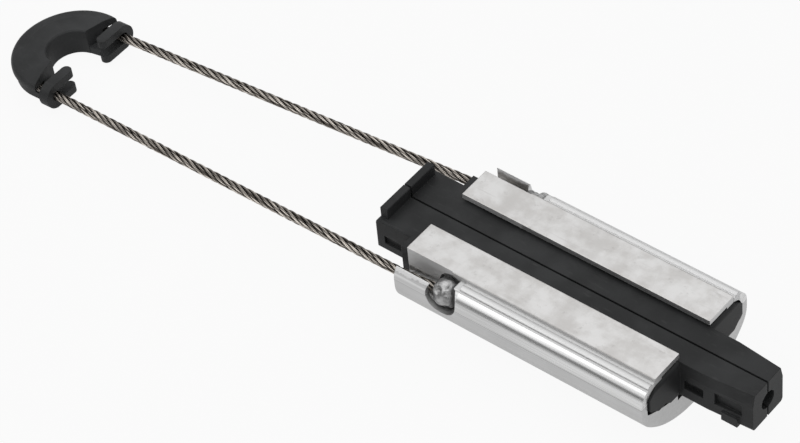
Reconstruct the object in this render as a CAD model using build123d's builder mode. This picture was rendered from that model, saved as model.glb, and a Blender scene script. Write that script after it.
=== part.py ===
"""Dead-end anchor clamp for a small aerial cable.

An aluminium body lies open at the top between two flanges. Two mirrored plastic wedge halves slide in
it on a ramp and grip the cable between them. A stainless rope bail, held in the body by a crimped
ferrule at each end, runs to a plastic saddle that hooks over the bracket on the pole.

X runs along the cable, from the saddle to the wedge nose. Z is up. The origin is on the cable's axis,
in the plane of the body's tail face. Heights are given above the body's lowest line, which is how they
are read on a table, and level() turns a height into Z.
"""
import os
from math import asin, atan, atan2, cos, degrees, hypot, pi, radians, sin, tan

from build123d import *

os.makedirs("parts", exist_ok=True)

# Cable passage
cable_height = 27.4
cable_bore_diameter = 10.0

# Body section
body_length = 145.7
body_half_width = 42.4
bottom_radius_excess = 8.6
bottom_corner_radius = 16.0
shoulder_height = 42.3
shoulder_radius = 10.0
flange_inner = 12.2
flange_inset = 10.9
flange_height = 44.3
flange_thickness = 3.0
bead_radius = 2.4
bead_inset = 7.2
bead_height = 40.8
bead_start = 36.5
bead_trim_height = 41.6
side_wall = 4.5
shoulder_wall = 2.4

# Body cavity: a ramp that rises from the tail to the nose end, narrow first and then with side lobes
ramp_tail_height = 7.0
ramp_nose_height = 15.0
ramp_radius = 77.0
ramp_corner_radius = 2.0
channel_inset = 16.2
lobe_start = 70.0

# Rope groove and ferrule pocket, one on each side of the tail
groove_wall = 2.8
groove_width = 8.7
groove_floor_height = 24.0
pocket_radius = 9.0
pocket_offset = 27.8
pocket_height = 34.3
pocket_depth = 11.2
relief_radius = 8.2
relief_depth = 14.6

# Wedge halves
seam_gap = 1.0
slide_gap = 0.3
channel_gap = 0.7
wedge_height = 39.6
rib_length = 6.0
rib_reach = 3.0
ear_front = 146.8
ear_length = 14.0
ear_gap = 0.7
ear_edge_radius = 2.5
ear_corner_width = 5.8
ear_corner_drop = 4.7
ear_steps = ((26.2, 16.6), (22.2, 18.8), (16.2, 18.8), (12.2, 22.0), (6.7, 22.0), (2.7, 25.5))
ear_side_low = 27.4
ear_stop_gap = 0.8
block_front = 140.0

# Wedge head, behind the body's tail
head_tail = -28.4
head_half_width = 21.3
head_floor_height = 19.9
head_top_radius = 4.0
head_floor_chamfer = 2.5
head_side_chamfer = 0.8
lip_tail = -26.3
lip_thickness = 4.4
lip_height = 46.4
lip_half_width = 18.5
lip_edge_radius = 0.8
head_pocket_tail = -23.0
head_pocket_nose = -12.8
head_pocket_low = 24.8
head_pocket_high = 30.0
head_pocket_depth = 1.6

# Wedge nose, beyond the body
nose_end = 186.6
nose_taper_start = 162.0
nose_floor_height = 16.0
nose_side_height = 33.0
nose_corner_radius = 2.0
nose_root_top = 12.9
nose_root_side = 13.6
nose_tip_top = 10.5
nose_tip_side = 12.1
nose_relief_gap = 0.5
nose_pockets = ((149.0, 159.8, 29.2), (166.0, 180.6, 31.0))
nose_pocket_floor = 11.2
nose_pocket_low = 23.4
tab_tail = 170.0
tab_nose = 179.0
tab_low = 15.6
tab_inner = 10.8
tab_outer = 13.9
tab_top = 21.0

# Rope bail
rope_diameter = 5.0
ferrule_offset = 27.3
ferrule_inset = 7.3
ferrule_height = 33.1
exit_offset = 2.0
exit_height = 28.2
exit_inset = 8.2
bend_centre = -251.3
bend_radius = 25.8
rope_end = 3.5
rope_gap = 0.1
exit_bend_share = 0.45

# Crimped ferrules
ferrule_radius = 7.2
ferrule_flat_count = 12
ferrule_straight = 1.6
ferrule_taper_length = 4.4
ferrule_taper_drop = 2.8

# Saddle, measured in the bail's own plane from the centre of the rope's bend
crown_rise = 8.0
saddle_drop = 7.2
crown_radius = 32.1
crown_slope_width = 8.0
crown_slope_drop = 1.5
crown_edge_radius = 3.0
crown_edge_steps = 4
crown_seat_chamfer = 0.8
floor_radius = 27.8
floor_centre = -5.0
seat_radius = 13.4
seat_offset = 0.9
groove_half_height = 2.9
groove_root_radius = 23.0
crown_cut_inner = -1.3
crown_cut_outer = 3.5
jaw_end = 12.9
jaw_inner = 15.4
clip_tail = 6.8
clip_side = 26.1
clip_radius = 7.2
clip_inner = 11.3
clip_end_radius = 2.9
rest_gap = 0.1


def level(height):
    """Z of a height above the body's lowest line."""
    return height - cable_height


# Widths that follow the body's
bottom_radius = body_half_width + bottom_radius_excess
flange_outer = body_half_width - flange_inset
bead_offset = body_half_width - bead_inset
channel_half_width = body_half_width - channel_inset
wedge_half_width = channel_half_width - channel_gap
rib_half_width = wedge_half_width + rib_reach
ear_half_width = body_half_width - side_wall - ear_gap
exit_side = body_half_width - exit_inset
ferrule_side = body_half_width - ferrule_inset

# The ramp that the wedges ride on
ramp_angle = atan((ramp_nose_height - ramp_tail_height) / body_length)
ramp_direction = (cos(ramp_angle), 0, sin(ramp_angle))
past_end = 2.0

# How far the wedge halves back out, until their ears meet the ends of the side lobes
ear_tail = ear_front - ear_length
wedge_travel = ear_tail - lobe_start - ear_stop_gap
wedge_drop = wedge_travel * sin(ramp_angle)
backed_out_end = nose_end - wedge_travel * cos(ramp_angle)


def ramp_level(x):
    """Z of the ramp's lowest line at x."""
    return level(ramp_tail_height) + x * tan(ramp_angle)


def space_above_ramp(start, end, half_width, gap, corner_radius):
    """Prism along the ramp whose arched underside lies the gap above it."""
    run = (end - start) / cos(ramp_angle)
    with BuildPart() as space:
        with BuildSketch(Plane.YZ.offset(start)) as outline:
            with Locations((0, ramp_level(start) + ramp_radius)):
                Circle(ramp_radius - gap)
            with Locations((0, ramp_level(start))):
                Rectangle(2 * half_width, ramp_radius, align=(Align.CENTER, Align.MIN), mode=Mode.INTERSECT)
            fillet(outline.vertices().group_by(Axis.Y)[0], corner_radius)
        extrude(amount=run, dir=ramp_direction)
    return space.part


def nose_clearance(x, height):
    """Outline at x of the space that the nose needs above the height."""
    with BuildSketch(Plane.YZ.offset(x)) as outline:
        with Locations((0, level(height))):
            Rectangle(
                2 * (nose_root_side + nose_relief_gap),
                nose_floor_height,
                align=(Align.CENTER, Align.MIN),
            )
    return outline.sketch


# Body: one extruded section, machined inside and at the tail
core_space = space_above_ramp(-past_end, body_length + past_end, channel_half_width, 0, ramp_corner_radius)
lobe_space = space_above_ramp(
    lobe_start, body_length + past_end, body_half_width - side_wall, 0, ramp_corner_radius
)
cavity_span = body_length + 2 * past_end

with BuildPart() as channel:
    add(core_space)
    with BuildSketch(Plane.YZ.offset(-past_end)):
        with Locations((0, level(0))):
            Rectangle(
                2 * channel_half_width,
                flange_height - flange_thickness,
                align=(Align.CENTER, Align.MIN),
            )
    extrude(amount=cavity_span, mode=Mode.INTERSECT)

with BuildPart() as lobes:
    add(lobe_space)
    with BuildSketch(Plane.YZ.offset(-past_end)) as ceiling:
        with Locations((0, level(0))):
            Rectangle(
                2 * (body_half_width - side_wall),
                shoulder_height - shoulder_wall,
                align=(Align.CENTER, Align.MIN),
            )
        fillet(ceiling.vertices().group_by(Axis.Y)[-1], shoulder_radius - shoulder_wall)
        with Locations((bead_offset, level(bead_height)), (-bead_offset, level(bead_height))):
            Circle(bead_radius, mode=Mode.SUBTRACT)
    extrude(amount=cavity_span, mode=Mode.INTERSECT)

groove_middle = body_half_width - groove_wall - groove_width / 2

with BuildPart() as body:
    with BuildSketch(Plane.YZ) as section:
        with Locations((0, level(bottom_radius))):
            Circle(bottom_radius)
        with Locations((0, level(0))):
            Rectangle(
                2 * body_half_width, shoulder_height, align=(Align.CENTER, Align.MIN), mode=Mode.INTERSECT
            )
        fillet(section.vertices().group_by(Axis.Y)[0], bottom_corner_radius)
        fillet(section.vertices().group_by(Axis.Y)[-1], shoulder_radius)
        with Locations((0, level(flange_height))):
            Rectangle(2 * flange_outer, flange_thickness, align=(Align.CENTER, Align.MAX))
        with Locations((bead_offset, level(bead_height)), (-bead_offset, level(bead_height))):
            Circle(bead_radius)
    extrude(amount=body_length)
    # the slot between the flanges, and the cavity under it
    with BuildSketch(Plane.XY.offset(level(flange_height))):
        with Locations((-past_end, 0)):
            Rectangle(cavity_span, 2 * flange_inner, align=(Align.MIN, Align.CENTER))
    extrude(amount=-(flange_height - cable_height), mode=Mode.SUBTRACT)
    add(channel.part, mode=Mode.SUBTRACT)
    add(lobes.part, mode=Mode.SUBTRACT)
    # relief in the ramp, so that the nose can follow the wedges in
    extrude(
        nose_clearance(nose_end, nose_floor_height - nose_relief_gap),
        amount=-wedge_travel,
        dir=ramp_direction,
        mode=Mode.SUBTRACT,
    )
    extrude(
        nose_clearance(backed_out_end, nose_floor_height - wedge_drop - nose_relief_gap),
        amount=lobe_start - backed_out_end,
        mode=Mode.SUBTRACT,
    )
    # beads milled away beside the rope grooves
    with BuildSketch(Plane.XY.offset(level(bead_trim_height))):
        with Locations((-past_end, 0)):
            Rectangle(
                bead_start + past_end, 2 * body_half_width, align=(Align.MIN, Align.CENTER)
            )
            Rectangle(
                bead_start + past_end,
                2 * flange_outer,
                align=(Align.MIN, Align.CENTER),
                mode=Mode.SUBTRACT,
            )
    extrude(amount=flange_height - bead_trim_height, mode=Mode.SUBTRACT)
    # ball-nosed rope grooves, open at the top, from the tail to the ferrule pockets
    with BuildSketch(Plane.YZ.offset(-past_end)):
        for side in (-1, 1):
            with Locations((side * groove_middle, level(groove_floor_height) + groove_width / 2)):
                Circle(groove_width / 2)
                Rectangle(groove_width, flange_height, align=(Align.CENTER, Align.MIN))
    extrude(amount=pocket_offset + past_end, mode=Mode.SUBTRACT)
    # ferrule pockets, bored from the sides, with a smaller relief at the inner end
    for side in (-1, 1):
        with BuildSketch(Plane.XZ.offset(-side * (body_half_width + past_end))):
            with Locations((pocket_offset, level(pocket_height))):
                Circle(pocket_radius)
        extrude(amount=side * (pocket_depth + past_end), mode=Mode.SUBTRACT)
        with BuildSketch(Plane.XZ.offset(-side * groove_middle)):
            with Locations((ferrule_offset, level(ferrule_height))):
                Circle(relief_radius)
        extrude(amount=side * (groove_middle - body_half_width + relief_depth), mode=Mode.SUBTRACT)


# Wedge half on the far side, and its mirror image
seam = seam_gap / 2
wedge_top = level(wedge_height)


def nose_section(x, top, side):
    """Outline of one half of the nose at x, rounded at its lower corner."""
    low = level(nose_floor_height)
    high = wedge_top
    corner = side - nose_corner_radius
    with BuildSketch(Plane.YZ.offset(x)) as outline:
        with BuildLine():
            Polyline((top, high), (0, high), (0, low), (corner, low))
            TangentArc((corner, low), (side, low + nose_corner_radius), tangent=(1, 0))
            Polyline((side, low + nose_corner_radius), (side, level(nose_side_height)), (top, high))
        make_face()
    return outline.sketch


with BuildPart() as head:
    # rounded on top and chamfered below at its tail
    with BuildSketch(Plane.XZ) as head_profile:
        with BuildLine():
            Polyline(
                (head_tail, level(head_floor_height)),
                (-rib_length / 2, level(head_floor_height)),
                (-rib_length / 2, wedge_top),
                (head_tail, wedge_top),
                close=True,
            )
        make_face()
        tail_corners = head_profile.vertices().group_by(Axis.X)[0].sort_by(Axis.Y)
        fillet(tail_corners[-1], head_top_radius)
        chamfer(tail_corners[0], head_floor_chamfer)
    extrude(amount=-head_half_width)
    chamfer(head.faces().sort_by(Axis.Y)[-1].edges(), head_side_chamfer)

with BuildPart() as wedge_far:
    # block and stop rib, arched underneath to ride the ramp
    add(space_above_ramp(-rib_length, block_front, wedge_half_width, slide_gap, ramp_corner_radius))
    add(space_above_ramp(-rib_length, -slide_gap, rib_half_width, slide_gap, ramp_corner_radius))
    with BuildSketch(Plane.XY.offset(level(0))):
        with Locations((-rib_length, 0)):
            Rectangle(rib_length + block_front, rib_half_width, align=(Align.MIN, Align.MIN))
    extrude(amount=wedge_height, mode=Mode.INTERSECT)
    # ears that reach into the side lobes, stepped underneath
    with BuildSketch(Plane.YZ.offset(ear_tail)):
        with BuildLine():
            Polyline(
                (0, level(ear_steps[0][1])),
                *[(ear_half_width - inset, level(height)) for inset, height in ear_steps],
                (ear_half_width - (ear_side_low - ear_steps[-1][1]), level(ear_steps[-1][1])),
                (ear_half_width, level(ear_side_low)),
                (ear_half_width, wedge_top - ear_corner_drop),
                (ear_half_width - ear_corner_width, wedge_top),
                (0, wedge_top),
                close=True,
            )
        make_face()
    extrude(amount=ear_length)
    ear_rim = wedge_far.faces().sort_by(Axis.X)[-1].edges().sort_by(Axis.Z)[-1]
    fillet(ear_rim, ear_edge_radius)
    # nose, straight at first and then tapered
    nose_root = nose_section(nose_taper_start, nose_root_top, nose_root_side)
    nose_tip = nose_section(nose_end, nose_tip_top, nose_tip_side)
    extrude(nose_root, amount=nose_taper_start - block_front, dir=(-1, 0, 0))
    loft([nose_root, nose_tip], ruled=True)
    add(head.part)
    # cross lip
    with BuildSketch(Plane.XZ) as lip_profile:
        with Locations((lip_tail, level(lip_height))):
            Rectangle(lip_thickness, lip_height - head_floor_height, align=(Align.MIN, Align.MAX))
        fillet(lip_profile.vertices().group_by(Axis.Y)[-1], lip_edge_radius)
    extrude(amount=-lip_half_width)
    # recess in the head's side, and two in the nose
    with BuildSketch(Plane.XZ.offset(-head_half_width - past_end)):
        with Locations((head_pocket_tail, level(head_pocket_low))):
            Rectangle(
                head_pocket_nose - head_pocket_tail,
                head_pocket_high - head_pocket_low,
                align=(Align.MIN, Align.MIN),
            )
    extrude(amount=head_pocket_depth + past_end, mode=Mode.SUBTRACT)
    with BuildSketch(Plane.XZ.offset(-nose_pocket_floor)):
        for pocket_tail, pocket_nose, pocket_high in nose_pockets:
            with Locations((pocket_tail, level(nose_pocket_low))):
                Rectangle(
                    pocket_nose - pocket_tail,
                    pocket_high - nose_pocket_low,
                    align=(Align.MIN, Align.MIN),
                )
    extrude(amount=-nose_root_side, mode=Mode.SUBTRACT)
    # clip tab at the nose's lower corner
    with BuildSketch(Plane.XZ.offset(-tab_inner)):
        with Locations((tab_tail, level(tab_low))):
            Rectangle(tab_nose - tab_tail, tab_top - tab_low, align=(Align.MIN, Align.MIN))
    extrude(amount=tab_inner - tab_outer)
    # cable passage, and the gap that keeps the halves apart
    with BuildSketch(Plane.YZ.offset(head_tail - past_end)):
        Circle(cable_bore_diameter / 2)
    extrude(amount=nose_end - head_tail + 2 * past_end, mode=Mode.SUBTRACT)
    split(bisect_by=Plane.XZ.offset(-seam), keep=Keep.BOTTOM)

with BuildPart() as wedge_near:
    mirror(wedge_far.part, about=Plane.XZ)


# Bail: the rope lies in a plane that tips down from the body's tail until the saddle rests
bail_reach = exit_offset - bend_centre - floor_centre + floor_radius
bail_tilt = asin((exit_height - saddle_drop - rest_gap) / bail_reach)
bail_plane = Plane(
    origin=(exit_offset, 0, level(exit_height)),
    x_dir=(cos(bail_tilt), 0, sin(bail_tilt)),
    z_dir=(-sin(bail_tilt), 0, cos(bail_tilt)),
)
bend_offset = (bend_centre - exit_offset) / cos(bail_tilt)
leg_angle = atan2(exit_side, -bend_offset) - asin(bend_radius / hypot(bend_offset, exit_side))


def leg_points(side):
    """Ferrule centre, point at the tail face and start of the bend, of one leg."""
    ferrule_centre = Vector(ferrule_offset, side * ferrule_side, level(ferrule_height))
    exit_point = bail_plane.from_local_coords((0, side * exit_side, 0))
    bend_start = bail_plane.from_local_coords(
        (bend_offset - bend_radius * sin(leg_angle), side * bend_radius * cos(leg_angle), 0)
    )
    return ferrule_centre, exit_point, bend_start


def ferrule_direction(side):
    """Direction in which one leg's last stretch runs into its ferrule."""
    ferrule_centre, exit_point, _ = leg_points(side)
    return (ferrule_centre - exit_point).normalized()


far_ferrule, far_exit, far_bend = leg_points(1)
near_ferrule, near_exit, near_bend = leg_points(-1)
exit_turn = ferrule_direction(1).get_angle(far_exit - far_bend)
exit_radius = exit_bend_share * (far_ferrule - far_exit).length / tan(radians(exit_turn) / 2)
crown_point = bail_plane.from_local_coords((bend_offset - bend_radius, 0, 0))

with BuildPart() as bail_rope:
    with BuildLine() as bail_path:
        FilletPolyline(
            far_ferrule + ferrule_direction(1) * rope_end, far_exit, far_bend, radius=exit_radius
        )
        ThreePointArc(far_bend, crown_point, near_bend)
        FilletPolyline(
            near_bend, near_exit, near_ferrule + ferrule_direction(-1) * rope_end, radius=exit_radius
        )
    with BuildSketch(Plane(origin=bail_path.line @ 0, z_dir=bail_path.line % 0)):
        Circle(rope_diameter / 2)
    sweep(path=bail_path.line)


# Ferrules, crimped on the rope's ends
def crimped_ferrule(side):
    """Barrel pressed to flats, tapered at both ends, with a blind bore for the rope."""
    ferrule_centre = leg_points(side)[0]
    direction = ferrule_direction(side)
    with BuildPart() as ferrule:
        with BuildSketch(Plane(origin=ferrule_centre, z_dir=direction)):
            RegularPolygon(ferrule_radius, ferrule_flat_count)
        extrude(amount=ferrule_straight, both=True)
        for outward in (direction, -direction):
            with BuildSketch(Plane(origin=ferrule_centre + outward * ferrule_straight, z_dir=outward)):
                RegularPolygon(ferrule_radius, ferrule_flat_count)
            extrude(
                amount=ferrule_taper_length,
                taper=degrees(atan(ferrule_taper_drop / ferrule_taper_length)),
            )
        bore_end = ferrule_centre + direction * (rope_end + rope_gap)
        with BuildSketch(Plane(origin=bore_end, z_dir=-direction)):
            Circle(rope_diameter / 2 + rope_gap)
        extrude(amount=rope_end + 2 * ferrule_taper_length, mode=Mode.SUBTRACT)
    return ferrule.part


with BuildPart() as ferrule_far:
    add(crimped_ferrule(1))

with BuildPart() as ferrule_near:
    add(crimped_ferrule(-1))


# Saddle: a grooved crescent with a clip on each leg, drawn in the bail's plane about the rope's bend
saddle_plane = Plane(
    origin=bail_plane.from_local_coords((bend_offset, 0, 0)),
    x_dir=bail_plane.x_dir,
    z_dir=bail_plane.z_dir,
)
clip_plane = Plane(
    origin=saddle_plane.from_local_coords((clip_tail, 0, 0)),
    x_dir=(0, 1, 0),
    z_dir=saddle_plane.x_dir,
)

with BuildPart() as clips:
    with BuildSketch(clip_plane):
        for side in (-1, 1):
            with Locations((side * clip_side, 0)):
                Circle(clip_radius)
            with Locations((side * clip_side / 2, 0)):
                Rectangle(clip_side, 2 * clip_radius)
        for side in (-1, 1):
            with Locations((side * clip_side, 0)):
                Circle(groove_half_height, mode=Mode.SUBTRACT)
        Rectangle(2 * clip_side, 2 * groove_half_height, mode=Mode.SUBTRACT)
    extrude(amount=jaw_end - clip_tail)
    # rounded ends of the tongues, on both sides of the mouth
    with BuildSketch(saddle_plane):
        with Locations((clip_tail, 0)):
            Rectangle(jaw_end - clip_tail, 2 * clip_inner, align=(Align.MIN, Align.CENTER))
    extrude(amount=clip_radius, both=True, mode=Mode.SUBTRACT)
    upright_edges = clips.edges().filter_by(Axis(saddle_plane.origin, saddle_plane.z_dir))
    fillet(upright_edges.group_by(lambda edge: abs(edge.center().Y))[0], clip_end_radius)

# round edge of the crown, and the points on it that the crown is turned through
with BuildLine() as crown_edge:
    FilletPolyline(
        (crown_radius, -groove_half_height),
        (crown_radius, crown_rise - crown_slope_drop),
        (crown_radius - crown_slope_width, crown_rise),
        radius=crown_edge_radius,
    )
rounding = crown_edge.edges().filter_by(GeomType.CIRCLE)[0]
rounding_points = [rounding @ (step / crown_edge_steps) for step in range(crown_edge_steps + 1)]
rounding_points.sort(key=lambda point: point.Y)
crown_plane = Plane(origin=saddle_plane.origin, x_dir=saddle_plane.x_dir, z_dir=-saddle_plane.y_dir)

with BuildPart() as saddle:
    # crown, turned about the bend's centre, with a top that falls away to the round edge
    with BuildSketch(crown_plane):
        with BuildLine():
            Polyline(
                (0, -groove_half_height),
                (crown_radius, -groove_half_height),
                *[(point.X, point.Y) for point in rounding_points],
                (crown_radius - crown_slope_width, crown_rise),
                (0, crown_rise),
                close=True,
            )
        make_face()
    revolve(axis=Axis(saddle_plane.origin, saddle_plane.z_dir))
    # cut across at both ends
    with BuildSketch(saddle_plane.offset(-groove_half_height)):
        with BuildLine():
            Polyline(
                (-crown_radius, -crown_radius),
                (crown_cut_outer, -crown_radius),
                (crown_cut_inner, -seat_radius),
                (crown_cut_inner, seat_radius),
                (crown_cut_outer, crown_radius),
                (-crown_radius, crown_radius),
                close=True,
            )
        make_face()
    extrude(amount=crown_rise + groove_half_height, mode=Mode.INTERSECT)
    # floor plate that carries both legs on to the clips
    with BuildSketch(saddle_plane.offset(-saddle_drop)):
        with Locations((floor_centre, 0)):
            Circle(floor_radius)
            Rectangle(jaw_end - floor_centre, 2 * floor_radius, align=(Align.MIN, Align.CENTER))
        with Locations((jaw_end, 0)):
            Rectangle(
                floor_radius,
                2 * floor_radius,
                align=(Align.MIN, Align.CENTER),
                mode=Mode.SUBTRACT,
            )
    extrude(amount=saddle_drop - groove_half_height)
    # rope groove, open outwards
    with BuildSketch(saddle_plane):
        Circle(crown_radius + past_end)
        Circle(groove_root_radius, mode=Mode.SUBTRACT)
    extrude(amount=groove_half_height, both=True, mode=Mode.SUBTRACT)
    # seat and the mouth between the legs
    with BuildSketch(saddle_plane):
        with Locations((seat_offset, 0)):
            Circle(seat_radius)
        with BuildLine():
            Polyline(
                (crown_cut_inner, -seat_radius),
                (jaw_end, -jaw_inner),
                (jaw_end, jaw_inner),
                (crown_cut_inner, seat_radius),
                close=True,
            )
        make_face()
    extrude(amount=crown_rise, both=True, mode=Mode.SUBTRACT)
    # eased rim on top of the seat
    seat_rims = saddle.edges().filter_by(GeomType.CIRCLE).filter_by(
        lambda edge: abs(edge.radius - seat_radius) < rest_gap
    )
    chamfer(seat_rims.sort_by(Axis.Z)[-1], crown_seat_chamfer)
    add(clips.part)

for piece, name in (
    (body, "body"),
    (wedge_near, "wedge_near"),
    (wedge_far, "wedge_far"),
    (bail_rope, "bail_rope"),
    (ferrule_near, "ferrule_near"),
    (ferrule_far, "ferrule_far"),
    (saddle, "saddle"),
):
    piece.part.label = name
    export_step(piece.part, f"parts/{name}.step")

print("wedge travel", wedge_travel, "at", degrees(ramp_angle), "degrees")
print("bail tilt", degrees(bail_tilt), "exit radius", exit_radius, "bend radius", bend_radius)
rope_length = bail_path.wires()[0].length
print("rope length", rope_length, "volume", bail_rope.part.volume, rope_length * pi * rope_diameter**2 / 4)
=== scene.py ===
# %% [markdown]
# # A dead-end anchor clamp, dressed for its picture
#
# The clamp ends an aerial cable at a pole. An aluminium body holds two black wedge halves that
# grip the cable, and a rope bail with a black saddle hangs the whole thing on a bracket. The packed
# model brings every piece at its real size. This file adds what a drawing leaves out: the lay of
# the rope, the dents of the crimped ferrules, and the finish of metal and plastic.
#
# The first step loads the model. Its nodes stay exactly where they are, because their places are
# already right, and everything new is placed in the same metres.

import bpy
import numpy as np
from mathutils import Matrix, Vector


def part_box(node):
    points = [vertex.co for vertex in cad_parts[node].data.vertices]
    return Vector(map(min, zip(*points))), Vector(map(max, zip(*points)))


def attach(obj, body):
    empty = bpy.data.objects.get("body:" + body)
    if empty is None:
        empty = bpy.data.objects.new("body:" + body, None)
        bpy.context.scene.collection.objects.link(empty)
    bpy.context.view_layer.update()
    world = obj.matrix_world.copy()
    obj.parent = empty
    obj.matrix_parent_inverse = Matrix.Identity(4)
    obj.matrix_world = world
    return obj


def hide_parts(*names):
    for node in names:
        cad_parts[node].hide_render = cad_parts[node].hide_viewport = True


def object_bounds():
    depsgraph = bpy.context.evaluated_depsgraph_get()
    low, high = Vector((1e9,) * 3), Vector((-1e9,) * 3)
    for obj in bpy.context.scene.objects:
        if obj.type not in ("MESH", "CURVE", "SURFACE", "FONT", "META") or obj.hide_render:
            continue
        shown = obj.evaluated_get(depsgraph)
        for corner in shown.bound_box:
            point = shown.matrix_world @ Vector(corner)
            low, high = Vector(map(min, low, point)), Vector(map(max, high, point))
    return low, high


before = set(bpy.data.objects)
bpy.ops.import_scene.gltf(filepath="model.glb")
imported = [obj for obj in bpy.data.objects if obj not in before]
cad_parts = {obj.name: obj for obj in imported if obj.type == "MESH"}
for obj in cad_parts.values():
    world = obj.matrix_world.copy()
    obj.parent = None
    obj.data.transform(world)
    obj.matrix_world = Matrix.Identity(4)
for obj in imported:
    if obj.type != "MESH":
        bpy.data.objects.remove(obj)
cad_low, cad_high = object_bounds()
print("nodes:", ", ".join(sorted(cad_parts)))

# %% [markdown]
# ## The camera
#
# A long lens far away keeps the body's edges almost parallel, as they are in the photograph. A
# camera can be pushed about by eye until the picture fits, but here it is described the way a
# photographer would: how far round it stands, how high, how far off, what it points at, and how
# much it is tilted. Each of these numbers changes one thing in the picture, so they are easy to
# correct.

# %% Place the camera
camera_turn, camera_rise, camera_roll = np.radians((42.855, 46.18, -6.07))
camera_distance = 1.7461
camera_aim = Vector((-0.04229, 0.01165, cad_low.z))
lens_mm = 157.5
sensor_width_mm = 36
farthest_seen = 20

back = Vector((
    np.sin(camera_turn) * np.cos(camera_rise),
    -np.cos(camera_turn) * np.cos(camera_rise),
    np.sin(camera_rise),
))
level_right = Vector((np.cos(camera_turn), np.sin(camera_turn), 0))
level_up = back.cross(level_right)
right = np.cos(camera_roll) * level_right + np.sin(camera_roll) * level_up
up = back.cross(right)
turned = Matrix((right, up, back)).transposed().to_4x4()

camera = bpy.data.objects.new("camera", bpy.data.cameras.new("camera"))
bpy.context.scene.collection.objects.link(camera)
camera.data.lens = lens_mm
camera.data.sensor_width = sensor_width_mm
camera.data.clip_end = farthest_seen
camera.matrix_world = Matrix.Translation(camera_aim + back * camera_distance) @ turned
bpy.context.scene.camera = camera
print("camera stands", round(camera_distance, 2), "m away")

# %% [markdown]
# ## Shader maths written as Python
#
# A material is a graph of nodes. It can be wired by hand, node by node, but its recipe is easier to
# read as a formula. `Field` wraps one socket, and its operators add Math nodes, so `1 - mask` is a
# node as well. `Recipe` adds every other kind of node: it takes the node's type, its settings, and
# the values or links of its sockets.

# %% A field: shader maths on one socket
class Field:
    """One output of a node, on which Python's operators add Math nodes."""

    def __init__(self, recipe, socket):
        self.recipe, self.socket = recipe, socket

    def _math(self, operation, first, second=0.0):
        return self.recipe.add("ShaderNodeMath", {"operation": operation}, {0: first, 1: second})

    def __add__(self, other):
        return self._math("ADD", self, other)

    def __sub__(self, other):
        return self._math("SUBTRACT", self, other)

    def __rsub__(self, other):
        return self._math("SUBTRACT", other, self)

    def __mul__(self, other):
        return self._math("MULTIPLY", self, other)

    def __abs__(self):
        return self._math("ABSOLUTE", self)

    __radd__, __rmul__ = __add__, __mul__

    def step(self, start, end):
        """Zero below start, one above end, and smooth between them."""
        return self.recipe.add(
            "ShaderNodeMapRange",
            {"interpolation_type": "SMOOTHSTEP"},
            {"Value": self, "From Min": start, "From Max": end},
        )


# %% A recipe: the nodes of one material
mm = 0.001


class Recipe:
    """A material or world under construction."""

    def __init__(self, owner):
        owner.use_nodes = True
        self.owner, self.tree = owner, owner.node_tree
        self.tree.nodes.clear()

    def add(self, kind, settings=None, inputs=None, output=0):
        """Adds one node and returns the field of one of its outputs, if it has any."""
        node = self.tree.nodes.new(kind)
        for name, value in (settings or {}).items():
            setattr(node, name, value)
        for name, value in (inputs or {}).items():
            if isinstance(value, Field):
                self.tree.links.new(value.socket, node.inputs[name])
            else:
                node.inputs[name].default_value = value
        return Field(self, node.outputs[output]) if node.outputs else None

    def place(self, scale=(1, 1, 1)):
        """Object coordinates in metres, stretched along each axis."""
        coordinates = self.add("ShaderNodeTexCoord", output="Object")
        return self.add("ShaderNodeMapping", inputs={"Vector": coordinates, "Scale": scale})

    def axis(self, name):
        """One object coordinate in metres."""
        return self.add("ShaderNodeSeparateXYZ", inputs={0: self.place()}, output=name)

    def noise(self, size, detail=2, scale=(1, 1, 1), roughness=0.5):
        """Noise whose patches are about `size` metres across."""
        spread = {"Scale": 1 / size, "Detail": detail, "Roughness": roughness}
        return self.add("ShaderNodeTexNoise", inputs={"Vector": self.place(scale), **spread})

    def blend(self, amount, first, second):
        """Mixes two colours: first * (1 - amount) + second * amount."""
        colours = {"Factor": amount, 6: first, 7: second}
        return self.add("ShaderNodeMix", {"data_type": "RGBA"}, colours, output=2)

    def bump(self, height, depth, edge=0.4 * mm):
        """A normal from a height of 0 to 1 and its depth, on corners rounded by the edge."""
        rounded = self.add("ShaderNodeBevel", {"samples": 6}, {"Radius": edge})
        relief = {"Height": height, "Distance": depth, "Strength": 1.0, "Normal": rounded}
        return self.add("ShaderNodeBump", inputs=relief)

    def surface(self, **inputs):
        """Ends the recipe with the shader that both metal and plastic use."""
        named = {name.replace("_", " "): value for name, value in inputs.items()}
        shader = self.add("ShaderNodeBsdfPrincipled", inputs=named)
        self.add("ShaderNodeOutputMaterial", inputs={"Surface": shader})
        return self.owner


# %% Starting a material, and giving it to a node
def material(name):
    """Starts a new material's recipe."""
    return Recipe(bpy.data.materials.new(name))


def grey(value, warmth=0.0):
    """A grey colour, made a little warmer or, below zero, cooler."""
    return (value * (1 + warmth), value, value * (1 - warmth), 1)


def finish_node(name, finish):
    """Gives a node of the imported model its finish, in place of the plain one."""
    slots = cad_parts[name].data.materials
    slots.clear()
    slots.append(finish)
    print(name, "is finished in", finish.name)


# %% [markdown]
# ## Where the body changes its finish
#
# The body is one extrusion, so its flanges, beads, shoulders and sides run along its whole length,
# and only the rope's channels at the tail are milled. Each part could have a material of its own on
# its own faces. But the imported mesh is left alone, so masks choose the finish at each point
# instead, from how high the point is, how far out and how far along. Every mask is soft at its
# edge, so one finish runs into the next as it does on the real metal.

# %% The zones of the body
flange_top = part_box("body")[1].z
flange_edge = 31.5 * mm
groove_depth = 4.0 * mm
bead_width = 4.6 * mm
side_top = 4.9 * mm
channel_end = 36.5 * mm
lip_inside = 39.6 * mm
lip_foot = 9.4 * mm
lip_wander = 6.0 * mm


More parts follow.
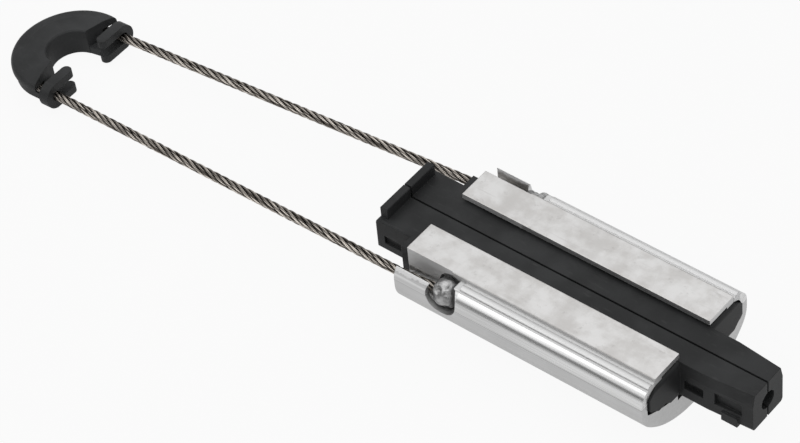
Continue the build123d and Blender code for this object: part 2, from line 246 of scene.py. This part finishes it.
def body_zones(metal, stains):
    """Masks of 0 to 1 for the body's parts, each a product of soft steps in its coordinates."""
    height, across = metal.axis("Z"), abs(metal.axis("Y"))
    from_edge = across - flange_edge
    flange = height.step(flange_top - 0.6 * mm, flange_top - 0.2 * mm)
    shoulder = height.step(side_top - 0.1 * mm, side_top + 0.1 * mm)
    between = shoulder * (1 - flange)
    ledge = between * (1 - from_edge.step(bead_width, bead_width + 1.4 * mm))
    milled = between * (1 - metal.axis("X").step(channel_end - 0.2 * mm, channel_end))
    outer_wall = across.step(lip_inside - 0.4 * mm, lip_inside - 0.2 * mm)
    ragged = height + (stains - 0.5) * lip_wander
    near_top = height.step(flange_top - groove_depth - 0.5 * mm, flange_top - groove_depth)
    by_edge = from_edge.step(-0.6 * mm, -0.3 * mm) * (1 - from_edge.step(0.3 * mm, 0.7 * mm))
    under_shoulder = height.step(side_top - 0.5 * mm, side_top - 0.2 * mm) * (1 - shoulder)
    bead = ledge * from_edge.step(0.0, 0.4 * mm)
    # Painted light: the outer walls of the milled channels turn pale and nearly matte above a
    # ragged line.
    lip = milled * outer_wall * ragged.step(lip_foot, lip_foot + 0.6 * mm)
    # Painted shade: a dark line in the groove beside each flange's outer edge, and a thin dark line
    # just under the shoulders.
    dirt_and_painted_shade = near_top * by_edge * 0.25 + under_shoulder * 0.35
    return flange, shoulder, ledge, bead, milled, lip, dirt_and_painted_shade


print("flanges top out at", round(flange_top * 1000, 1), "mm")

# %% [markdown]
# ## Aluminium, as extruded and then machined
#
# The flanges are matte and cloudy, because the die leaves them dull and the saw's coolant stains
# them. The beads beside them are pale and soft, the rounded shoulders are drawn bright, and the
# flat sides below are satin. The milled channels are a little rougher. Their outer walls are
# painted light above a ragged line, in a pale and nearly matte grey. A dark grey is painted as
# shade in the narrow groove beside each flange and along a thin line just under the shoulders. A
# picture of metal could be wrapped round the body, but it would blur close up. Noise never does:
# broad noise clouds the flanges, and noise stretched a hundred times along X draws the die lines of
# the sides.

# %% Aluminium
bare_grey, cloud_grey, stain_grey = grey(0.85, 0.006), grey(0.67, 0.02), grey(0.45, 0.03)
dark_line, bright_line = grey(0.68), grey(0.92)
dark_satin, bright_satin = grey(0.50), grey(0.81)
# The lip's pale grey on this line is painted light.
ledge_grey, bead_grey, painted_light_lip_grey = grey(0.70), grey(0.78), grey(0.9)
# The dark grey on this line is painted shade for the groove line and the under-shoulder line.
painted_shade_grey = grey(0.12, 0.05)


def body_aluminium():
    """Metal whose colour, gloss and relief follow the zones of the body."""
    metal = material("extruded aluminium")
    clouds = metal.noise(16 * mm, detail=5, roughness=0.6)
    stains = metal.noise(5 * mm, detail=4, roughness=0.7)
    grain = metal.noise(0.9 * mm)
    scuffs = metal.noise(1.6 * mm, detail=3, scale=(0.06, 1, 1))
    die_lines = metal.noise(1.1 * mm, detail=3, scale=(0.012, 1, 1))
    flange, shoulder, ledge, bead, milled, lip, dirt_and_painted_shade = body_zones(metal, stains)

    marks = stains.step(0.58, 0.72) * 0.35 + scuffs.step(0.6, 0.8) * 0.2
    cloudy = metal.blend(clouds.step(0.36, 0.64), cloud_grey, bare_grey)
    matte = metal.blend(marks, cloudy, stain_grey)
    satin = metal.blend(clouds * 0.4 + die_lines * 0.6, dark_satin, bright_satin)
    drawn = metal.blend(die_lines.step(0.3, 0.7), dark_line, bright_line)
    above = metal.blend(bead, metal.blend(ledge, drawn, ledge_grey), bead_grey)
    clean = metal.blend(flange, metal.blend(shoulder, satin, above), matte)
    # The lip's painted light: a pale grey on a wall that would otherwise show shade.
    with_painted_light_lip = metal.blend(lip, clean, painted_light_lip_grey)
    dullness = flange + ledge * 1.4 + (1 - shoulder) * 0.7 + milled * 1.2
    return metal.surface(
        # The painted shade of the groove lines darkens the colour here.
        Base_Color=metal.blend(dirt_and_painted_shade, with_painted_light_lip, painted_shade_grey),
        # The lip loses most of its metal as part of its painted light. The bead is made less
        # metallic as well.
        Metallic=1 - (lip * 0.8 + bead * 0.4),
        Roughness=dullness * 0.16 + (clouds * 0.10 + die_lines * 0.12 + 0.16),
        Normal=metal.bump(flange * grain + (1 - flange) * die_lines, 0.02 * mm),
    )


finish_node("body", body_aluminium())

# %% [markdown]
# ## Black moulded plastic
#
# The wedge halves and the saddle are moulded from matte black plastic, the saddle's a shade
# lighter. The mould's fine spark texture scatters light, so the black looks charcoal where it faces
# the lamps. It could be modelled as thousands of tiny pits, but a bump of fine noise does the same
# to the light. A slow drift of colour and roughness keeps large faces from looking painted,
# and faint pale scuffs run along the pieces, as handling leaves them.

# %% Plastic
darkest_black, lightest_black, scuff_grey = 0.021, 0.036, 0.07
black_warmth = -0.03


def moulded_plastic(name, shade):
    """Black plastic whose grey is multiplied by the shade, with drift, sparks and scuffs."""
    plastic = material(name)
    drift = plastic.noise(20 * mm, detail=3)
    spark = plastic.noise(0.5 * mm)
    scuffs = plastic.noise(2.5 * mm, detail=5, scale=(0.25, 1, 1), roughness=0.65)
    darker = grey(darkest_black * shade, black_warmth)
    lighter = grey(lightest_black * shade, black_warmth)
    moulded = plastic.blend(drift.step(0.3, 0.7), darker, lighter)
    return plastic.surface(
        Base_Color=plastic.blend(scuffs.step(0.56, 0.74) * 0.3, moulded, grey(scuff_grey)),
        Roughness=drift * 0.12 + 0.42,
        Specular_IOR_Level=0.22,
        Normal=plastic.bump(spark, 0.02 * mm, edge=0.5 * mm),
    )


wedge_black = moulded_plastic("black wedge plastic", shade=1.0)
finish_node("wedge_near", wedge_black)
finish_node("wedge_far", wedge_black)
finish_node("saddle", moulded_plastic("black saddle plastic", shade=1.3))

# %% [markdown]
# ## A helper for new surfaces
#
# The rope's wires and the ferrules are both tubes: rings of points, one behind the other. Blender's
# own cylinders could be bent into shape, but a grid of points lets a formula decide every one of
# them at once. Each ring closes on itself, and one flat face closes each end, so that nothing is
# left open.

# %% From a grid of points to a mesh
def tube_faces(rows, columns, first):
    """Quads between neighbouring rings: two points of one ring, and the same two of the next."""
    ring, turn = np.meshgrid(np.arange(rows - 1), np.arange(columns), indexing="ij")
    beside = (turn + 1) % columns
    here, ahead = ring * columns, (ring + 1) * columns
    corners = np.stack([here + turn, here + beside, ahead + beside, ahead + turn], axis=-1)
    return corners.reshape(-1, 4) + first


def tubes_mesh(name, tubes):
    """One mesh from closed tubes: an array of tube, ring, point round the ring, and x, y, z."""
    count, rows, columns = tubes.shape[:3]
    points = tubes.reshape(-1, 3)
    size = rows * columns
    quads = np.concatenate([tube_faces(rows, columns, k * size) for k in range(count)])
    caps = [range(k * size + columns - 1, k * size - 1, -1) for k in range(count)]
    caps += [range((k + 1) * size - columns, (k + 1) * size) for k in range(count)]
    mesh = bpy.data.meshes.new(name)
    mesh.from_pydata(points.tolist(), [], quads.tolist() + [list(cap) for cap in caps])
    mesh.shade_smooth()
    piece = bpy.data.objects.new(name, mesh)
    bpy.context.scene.collection.objects.link(piece)
    return piece


# %% [markdown]
# ## The rope's route
#
# The rope leaves each ferrule, bends a little at the body's tail face, runs straight to the saddle
# and goes round it. Straight pieces and arcs could be joined end to end, but a joint shows as a
# kink in the wires. A smooth spline has none. The points below are its control points: it is exact
# on straight runs, and the points round the saddle stand a little outside the bend, so that the
# curve lies on it.

# %% The control points, in metres
bend_radius = 0.0258
bend_centre = np.array((-0.2513, 0, -0.017754))
bail_forward = np.array((0.997328, 0, 0.073051))
sideways_out = np.array((0, 1, 0))
bend_steps = 8
leg_angle = np.radians(1.891)
half_bend = np.pi / 2 - leg_angle
ferrule_centre = np.array((0.0273, 0.0351, 0.0057))
tail_exit = np.array((0.002, 0.0342, 0.0008))
rope_end = np.array((0.03073, 0.03522, 0.00636))
straight_from, straight_to = 0.06, 0.97


def bend_points():
    """Corners of an outline drawn round the bend, each edge touching the bend at its middle."""
    half_step = half_bend / bend_steps
    angles = np.linspace(half_bend - half_step, -half_bend + half_step, bend_steps)
    corner_radius = bend_radius / np.cos(half_step)
    forward = -np.cos(angles) * corner_radius
    sideways = np.sin(angles) * corner_radius
    return bend_centre + forward[:, None] * bail_forward + sideways[:, None] * sideways_out


def rope_route():
    """Control points of the whole bail, from the far ferrule round to the near one."""
    bend_start = bend_centre + bend_radius * (
        -np.sin(leg_angle) * bail_forward + np.cos(leg_angle) * sideways_out
    )
    leg = bend_start - tail_exit
    straight = [tail_exit + leg * straight_from, tail_exit + leg * straight_to]
    far_leg = [rope_end, ferrule_centre, tail_exit, *straight]
    mirror = np.array((1, -1, 1))
    near_leg = [point * mirror for point in reversed(far_leg)]
    return np.array([*far_leg, *bend_points(), *near_leg])


route_points = rope_route()
print("route with", len(route_points), "control points")

# %% The spline through them
route_curve = bpy.data.curves.new("route", "CURVE")
route_curve.dimensions = "3D"
route_curve.resolution_u = 24
spline = route_curve.splines.new("NURBS")
spline.points.add(len(route_points) - 1)
spline.points.foreach_set("co", np.c_[route_points, np.ones(len(route_points))].ravel())
spline.order_u = 3
spline.use_endpoint_u = True
route_object = bpy.data.objects.new("route", route_curve)
bpy.context.scene.collection.objects.link(route_object)
centreline_mesh = bpy.data.meshes.new_from_object(route_object)
centreline = np.empty(len(centreline_mesh.vertices) * 3)
centreline_mesh.vertices.foreach_get("co", centreline)
centreline = centreline.reshape(-1, 3)
bpy.data.objects.remove(route_object)
print("centreline with", len(centreline), "points")

# %% [markdown]
# ## Laying the rope
#
# The real rope has six strands round a core, and each strand has six wires round a seventh. The
# core and the seventh wires are hidden, so only the thirty-six outer wires are made. A bump map on
# a plain bar would be quicker, but the bar's outline would stay straight, and a rope's is knobbly.
# So a helix is laid on a helix: every strand winds round the rope's centreline, and every wire
# winds round its strand the other way, which makes the wires run nearly along the rope.

# %% Helices
def unit(vectors):
    """Vectors brought to length one."""
    return vectors / np.linalg.norm(vectors, axis=-1, keepdims=True)


def even_steps(points, step):
    """The same line through points spaced evenly by arc length, and how far along each lies."""
    along = np.r_[0, np.cumsum(np.linalg.norm(np.diff(points, axis=0), axis=1))]
    keep = np.r_[True, np.diff(along) > 0]
    distance = np.linspace(0, along[-1], int(along[-1] / step))
    spaced = [np.interp(distance, along[keep], points[keep, k]) for k in range(3)]
    return distance, np.stack(spaced, 1)


def wind(line, outward, sideways, radius, turns):
    """A helix round a line: line + radius * (cos(turns) * outward + sin(turns) * sideways)."""
    direction = np.cos(turns)[:, None] * outward + np.sin(turns)[:, None] * sideways
    return line + radius * direction, direction


ring_step = 0.00125
distance, line = even_steps(centreline, ring_step)
print("centreline of", round(distance[-1] * 1000), "mm in", len(line), "steps")

# %% The wires
rope_radius = 0.0025
strand_radius = rope_radius / 3
wire_radius = strand_radius / 3
rope_lay = 0.034
strand_lay = 0.016
strand_count, wires_in_strand, wire_sides = 6, 6, 5


def laid_rope(distance, line):
    """Rings of every wire, one tube for each, and how far each point lies from the middle.

    Strand s winds round the line at 2 pi (distance / rope lay + s / 6), wire w winds round its
    strand at 2 pi (w / 6 - distance / strand lay), and each ring is a circle across its wire.
    """
    plane_normal = np.array((-bail_forward[2], 0, bail_forward[0]))
    tangent = unit(np.gradient(line, axis=0))
    sideways = unit(np.cross(plane_normal, tangent))
    upward = np.cross(tangent, sideways)
    round_ring = np.arange(wire_sides) * 2 * np.pi / wire_sides
    cosine = np.cos(round_ring)[None, :, None]
    sine = np.sin(round_ring)[None, :, None]
    to_strand, to_wire = rope_radius - strand_radius, strand_radius - wire_radius
    tubes = []
    for strand in range(strand_count):
        strand_turns = 2 * np.pi * (distance / rope_lay + strand / strand_count)
        centre, outward = wind(line, sideways, upward, to_strand, strand_turns)
        across = np.cross(unit(np.gradient(centre, axis=0)), outward)
        for wire in range(wires_in_strand):
            wire_turns = 2 * np.pi * (-distance / strand_lay + wire / wires_in_strand)
            wire_line, wire_outward = wind(centre, outward, across, to_wire, wire_turns)
            wire_across = np.cross(unit(np.gradient(wire_line, axis=0)), wire_outward)
            tubes.append(
                wire_line[:, None]
                + wire_radius * cosine * wire_outward[:, None]
                + wire_radius * sine * wire_across[:, None]
            )
    tubes = np.array(tubes)
    return tubes, np.linalg.norm(tubes - line[:, None], axis=-1)


wires, from_middle = laid_rope(distance, line)
print("rope of", len(wires), "wires")

# %% [markdown]
# ## The rope as one piece
#
# The wires become one mesh that turns with the bail and stands for the plain bar of the model. Each
# point also carries two numbers for the material: how far out it lies, which sets a painted shadow
# between the wires, and how bright its wire is, which paints highlights and shade along the
# strands.
# A texture could hold them, but it would have to be unwrapped from thirty-six thin tubes.

# %% The rope
rope = tubes_mesh("rope_wires", wires)
exposure = rope.data.attributes.new("exposure", "FLOAT", "POINT")
exposure.data.foreach_set("value", (from_middle / rope_radius).ravel())
# Each wire's random brightness runs from nearly black to bright. It is partly the wires' own
# difference and mostly painted highlight and painted shade along the strands.
brightness_seed = 5
brightness = np.random.default_rng(brightness_seed).uniform(0.05, 1.0, len(wires))
tone_and_glint = rope.data.attributes.new("tone_and_glint", "FLOAT", "POINT")
tone_and_glint.data.foreach_set("value", np.repeat(brightness, wires.shape[1] * wires.shape[2]))
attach(rope, "bail")
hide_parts("bail_rope")
print("rope with", len(rope.data.polygons), "faces")

# %% [markdown]
# ## Stainless wire
#
# Bare stainless wire is bright, with a brown tinge. One even metal would leave the gaps too pale,
# because light still finds its way between wires this thin. So a painted shadow follows the depth
# that each point carries: it is black near the middle and thins out towards the outside. Every
# wire also has a brightness of its own, picked at random from nearly black to bright. A little of
# this is the wires' own difference, and most of it is painted highlight and painted shade, which
# draws the light streaks along the strands.

# %% Stainless
dull_wire, bright_wire = (0.052, 0.042, 0.034, 1), (0.94, 0.87, 0.79, 1)
# A painted shadow colour for the gaps between the wires.
gap_shadow = (0.006, 0.005, 0.005, 1)


def stainless_wire():
    """Metal that goes from a dull to a bright wire by its painted brightness, and to painted shadow
    by its depth.
    """
    wire = material("stainless wire")
    dirt_and_painted_shade = wire.noise(2.2 * mm, detail=3)
    depth = wire.add("ShaderNodeAttribute", {"attribute_name": "exposure"}, output="Fac")
    own = wire.add("ShaderNodeAttribute", {"attribute_name": "tone_and_glint"}, output="Fac")
    # The clean colour carries each wire's painted highlight and painted shade.
    clean = wire.blend(own * (dirt_and_painted_shade * 0.6 + 0.7), dull_wire, bright_wire)
    return wire.surface(
        # Painted shadow between the wires: black near the middle, thinning out towards the outside.
        Base_Color=wire.blend(depth.step(0.70, 1.0), gap_shadow, clean),
        Metallic=1.0,
        Roughness=dirt_and_painted_shade * -0.15 + 0.36,
    )


rope.data.materials.append(stainless_wire())
print("the rope is finished in", rope.data.materials[0].name)

# %% [markdown]
# ## Crimped ferrules
#
# A ferrule starts as a smooth sleeve, and the press leaves it a dented barrel with rounded ends. It
# could be sculpted by hand, but a formula with a seed gives the same dents on every run. The barrel
# is a surface of revolution with the radius R * (1 - |t|^4)^(1/3) along its length, t from -1 to 1,
# and each dent takes a little off the radius round its own centre.

# %% Dented barrels
ferrule_radius = 0.0072
ferrule_half_length = 0.006
barrel_rings, barrel_points = 61, 96
dent_count = 26
dent_depth = 0.0018
dent_reach = 0.8
dent_widths = (0.18, 0.4)
dent_strengths = (0.3, 1.0)
smallest_radius = 0.00002
dark_crimp, bright_crimp = grey(0.24), grey(0.58)


def dented_barrel(centre, axis, seed):
    """Rings of a barrel round an axis.

    The radius is R (1 - |t|^4)^(1/3), less each dent: a bell exp(-apart^2 / width^2) round the
    dent's centre, which fades towards the barrel's ends.
    """
    random = np.random.default_rng(seed)
    turn = np.arange(barrel_points) * 2 * np.pi / barrel_points
    t, angle = np.meshgrid(np.linspace(-1, 1, barrel_rings), turn, indexing="ij")
    towards_middle = 1 - np.abs(t) ** 4
    radius = ferrule_radius * towards_middle ** (1 / 3)
    for _ in range(dent_count):
        at_t = random.uniform(-dent_reach, dent_reach)
        at_angle = random.uniform(0, 2 * np.pi)
        width = random.uniform(*dent_widths)
        apart = np.angle(np.exp(1j * (angle - at_angle)))
        bell = np.exp(-((t - at_t) ** 2 + apart**2) / width**2)
        radius = radius - dent_depth * random.uniform(*dent_strengths) * bell * towards_middle
    sideways = unit(np.cross(axis, (0, 0, 1)))
    upward = np.cross(axis, sideways)
    radius = np.maximum(radius, smallest_radius)[..., None]
    around = np.cos(angle)[..., None] * sideways + np.sin(angle)[..., None] * upward
    return centre + t[..., None] * ferrule_half_length * axis + radius * around


def dull_crimp():
    """Stained metal, with a fine relief on top of the dents."""
    crimp = material("crimped ferrule metal")
    stain = crimp.noise(4 * mm, detail=4, roughness=0.6)
    return crimp.surface(
        Base_Color=crimp.blend(stain.step(0.3, 0.7), dark_crimp, bright_crimp),
        Metallic=1.0,
        Roughness=stain * 0.2 + 0.22,
        Normal=crimp.bump(crimp.noise(1.2 * mm, detail=3), 0.25 * mm),
    )


# %% The two ferrules
crimped = dull_crimp()
for side, name, seed in ((1, "ferrule_far", 8), (-1, "ferrule_near", 6)):
    mirror = np.array((1, side, 1))
    axis = unit((ferrule_centre - tail_exit) * mirror)
    rings = dented_barrel(ferrule_centre * mirror, axis, seed)
    barrel = tubes_mesh(name + "_barrel", rings[None])
    barrel.data.materials.append(crimped)
    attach(barrel, "bail")
    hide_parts(name)
    print(name, "has", dent_count, "dents")

# %% [markdown]
# ## The floor
#
# The photograph is a cut-out on white. A floor bright enough to look white in every light would
# burn the metal out from below, so this paper glows only for the camera and, by half, for
# reflections. To all other light it is a plain grey sheet, and its small lit share keeps a faint
# shadow under the clamp.

# %% Floor
floor_half = 3.0
paper_lit = grey(0.5)
white_to_camera, white_to_mirror = 0.93, 0.53


def white_paper():
    """A mix of lit paper and white glow, the glow's share set by what kind of ray looks."""
    paper = material("white paper")
    seen = paper.add("ShaderNodeLightPath", output="Is Camera Ray")
    mirrored = paper.add("ShaderNodeLightPath", output="Is Glossy Ray")
    lit = paper.add("ShaderNodeBsdfDiffuse", inputs={"Color": paper_lit})
    glow = paper.add("ShaderNodeEmission", inputs={"Color": grey(1.0), "Strength": 1.0})
    share = seen * white_to_camera + mirrored * white_to_mirror
    mixed = paper.add("ShaderNodeMixShader", inputs={0: share, 1: lit, 2: glow})
    paper.add("ShaderNodeOutputMaterial", inputs={"Surface": mixed})
    return paper.owner


corners = np.array([(-1, -1), (1, -1), (1, 1), (-1, 1)]) * floor_half
floor_mesh = bpy.data.meshes.new("floor")
floor_mesh.from_pydata([(x, y, cad_low.z) for x, y in corners], [], [(0, 1, 2, 3)])
floor = bpy.data.objects.new("floor", floor_mesh)
bpy.context.scene.collection.objects.link(floor)
floor_mesh.materials.append(white_paper())
print("floor at", round(cad_low.z * 1000, 1), "mm")

# %% [markdown]
# ## The studio's light
#
# Bright metal shows what stands round it more than its own colour. In a room of one even white it
# would look flat, so this world is a small studio: a pale low wall, a dark band above it, which
# draws the dark streaks along the shoulders, and a bright ceiling. Two large lamps add the light
# that the matte flanges and the plastic need. They are wide and weak, because a small strong lamp
# would burn a white patch into the metal in some view. The camera itself sees plain white.

# %% The world
wall_glow, ceiling_glow, zenith_glow, least_glow = 0.64, 0.57, 0.25, 0.05


def studio_world():
    """Light by height: a wall below 0.1, almost dark to 0.32, then the ceiling and its middle."""
    studio = Recipe(bpy.data.worlds.new("studio"))
    direction = studio.add("ShaderNodeTexCoord", output="Generated")
    height = studio.add("ShaderNodeSeparateXYZ", inputs={0: direction}, output="Z")
    seen = studio.add("ShaderNodeLightPath", output="Is Camera Ray")
    wall = (1 - height.step(0.10, 0.18)) * wall_glow
    ceiling = height.step(0.32, 0.46) * ceiling_glow + height.step(0.4, 0.75) * zenith_glow
    strength = (wall + ceiling + least_glow) * (1 - seen) + seen
    sky = studio.add("ShaderNodeBackground", inputs={"Color": grey(1.0), "Strength": strength})
    studio.add("ShaderNodeOutputWorld", inputs={"Surface": sky})
    return studio.owner


bpy.context.scene.world = studio_world()
bpy.context.scene.view_settings.view_transform = "Standard"
print("world:", bpy.context.scene.world.name)

# %% The lamps
lamp_aim = Vector((0, 0, 0))
lamps = (
    ("overhead box", Vector((0.1, 0.1, 1.7)), 1.7, 2.8),
    ("side box", Vector((-0.75, -0.75, 1.15)), 1.0, 2.2),
)


def area_lamp(name, place, size, power):
    """A square lamp at a place, turned towards the aim, its size in metres and power in watts."""
    lamp = bpy.data.objects.new(name, bpy.data.lights.new(name, "AREA"))
    bpy.context.scene.collection.objects.link(lamp)
    lamp.data.size, lamp.data.energy = size, power
    lamp.location = place
    lamp.rotation_euler = (lamp_aim - place).to_track_quat("-Z", "Y").to_euler()
    print(name, "stands", round((place - lamp_aim).length, 2), "m from the clamp")


for name, place, size, power in lamps:
    area_lamp(name, place, size, power)
